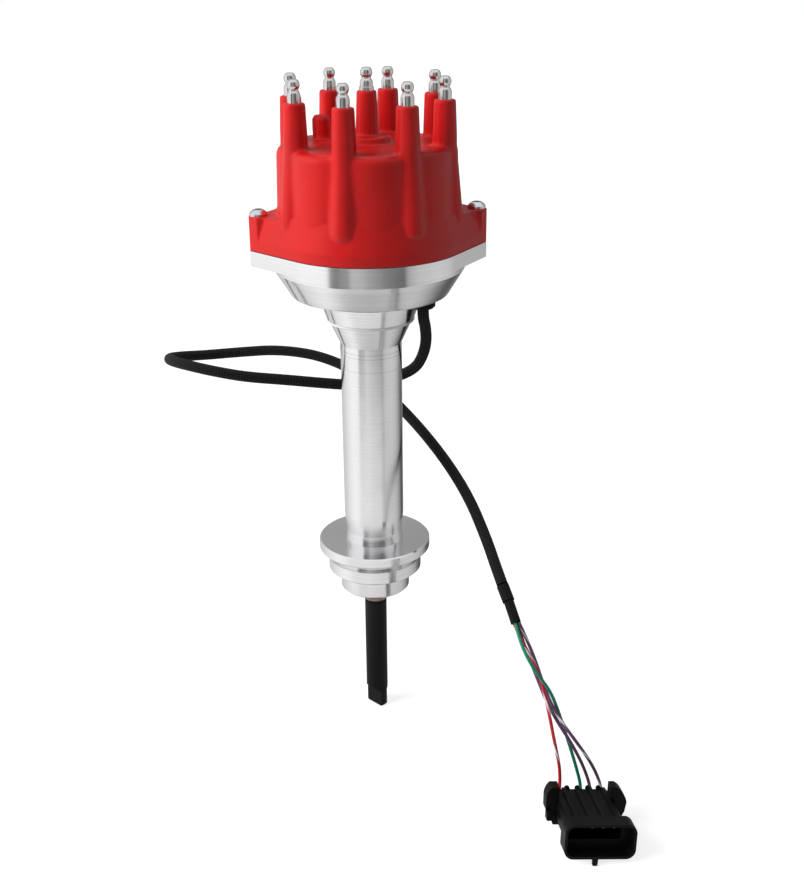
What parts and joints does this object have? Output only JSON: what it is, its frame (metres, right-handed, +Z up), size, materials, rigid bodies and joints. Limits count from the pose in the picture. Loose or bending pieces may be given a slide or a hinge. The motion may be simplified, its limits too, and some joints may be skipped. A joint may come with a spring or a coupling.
{
  "type": "ignition distributor",
  "caption": "Turned aluminium ignition distributor with a red moulded cap, ball-headed posts, a tanged drive shaft and a sleeved sensor harness with a flat connector",
  "frame": {"origin": "on the shaft's axis, at the plane that seats on the engine block", "axes": "+Z runs up the shaft to the cap; the cap's two screw ears lie on +X and -X; the connector lies toward -Y"},
  "size_m": [0.2295, 0.2593, 0.3716],
  "materials": {
    "turned_aluminium": "turned and polished",
    "red_moulding": "satin moulding",
    "rotor_moulding": "satin moulding",
    "black_oxide_steel": "black oxide",
    "bright_steel": "bright",
    "bearing_steel": "ground",
    "spring_steel": "oiled",
    "wheel_steel": "satin",
    "zinc_steel": "zinc plated",
    "bronze": "sintered",
    "brass": "satin",
    "black_plastic": "moulded",
    "black_rubber": "matt",
    "braided_sleeve": "braided",
    "shrink_tube": "shrunk tube",
    "red_insulation": "with a pale stripe",
    "green_insulation": "plain",
    "violet_insulation": "plain",
    "violet_white_insulation": "with a pale stripe",
    "carbon": "pressed carbon"
  },
  "bodies": {
    "housing_body": {"housing": "turned_aluminium", "sensor_plate": "turned_aluminium", "distributor_cap": "red_moulding", "coil_terminal": "bright_steel", "bearing_outer_race": "bearing_steel", "bearing_snap_ring": "spring_steel", "brush_spring": "spring_steel", "lower_bushing": "bronze", "coil_contact": "brass", "crank_sensor": "black_plastic", "cam_sensor": "black_plastic", "cap_screw_left": "zinc_steel", "cap_screw_right": "zinc_steel", "harness_grommet": "black_rubber", "harness_sleeve": "braided_sleeve", "shrink_large": "shrink_tube", "shrink_small": "shrink_tube", "wire_red_white": "red_insulation", "wire_green": "green_insulation", "wire_violet": "violet_insulation", "wire_violet_white": "violet_white_insulation", "connector_shell": "black_plastic", "connector_lock": "black_plastic", "connector_seals": "black_rubber", "connector_plug": "black_rubber", "connector_pins": "bright_steel", "plug_terminal_1": "bright_steel", "contact_insert_1": "brass", "plug_terminal_2": "bright_steel", "contact_insert_2": "brass", "plug_terminal_3": "bright_steel", "contact_insert_3": "brass", "plug_terminal_4": "bright_steel", "contact_insert_4": "brass", "plug_terminal_5": "bright_steel", "contact_insert_5": "brass", "plug_terminal_6": "bright_steel", "contact_insert_6": "brass", "plug_terminal_7": "bright_steel", "contact_insert_7": "brass", "plug_terminal_8": "bright_steel", "contact_insert_8": "brass", "sensor_screw_1": "zinc_steel", "sensor_screw_2": "zinc_steel", "sensor_screw_3": "zinc_steel"},
    "rotor_shaft": {"drive_shaft": "black_oxide_steel", "bearing_inner_race": "bearing_steel", "shaft_snap_ring": "spring_steel", "crank_trigger_wheel": "wheel_steel", "cam_trigger_wheel": "wheel_steel", "rotor_base": "turned_aluminium", "rotor_body": "rotor_moulding", "rotor_screw_1": "zinc_steel", "rotor_screw_2": "zinc_steel", "rotor_blade": "brass", "rotor_contact_spring": "brass"},
    "bearing_set": {"bearing_balls": "bearing_steel", "bearing_cage": "bearing_steel"},
    "brush": {"carbon_brush": "carbon"}
  },
  "joints": [
    {"name": "shaft_spin", "type": "hinge", "parent": "housing_body", "child": "rotor_shaft", "pos_m": [0, 0, 0], "axis": [0, 0, 1], "continuous": true},
    {"name": "bearing_spin", "type": "hinge", "parent": "housing_body", "child": "bearing_set", "pos_m": [0, 0, 0.16417], "axis": [0, 0, 1], "continuous": true},
    {"name": "brush_slide", "type": "slide", "parent": "housing_body", "child": "brush", "axis": [0, 0, 1], "range_m": [0, 0.0012], "stiffness_N_per_m": 300, "springref_m": -0.003, "deforming": ["brush_spring"]}
  ],
  "couplings": [
    {"joint": "bearing_spin", "follows": "shaft_spin", "ratio": 0.3932}
  ]
}
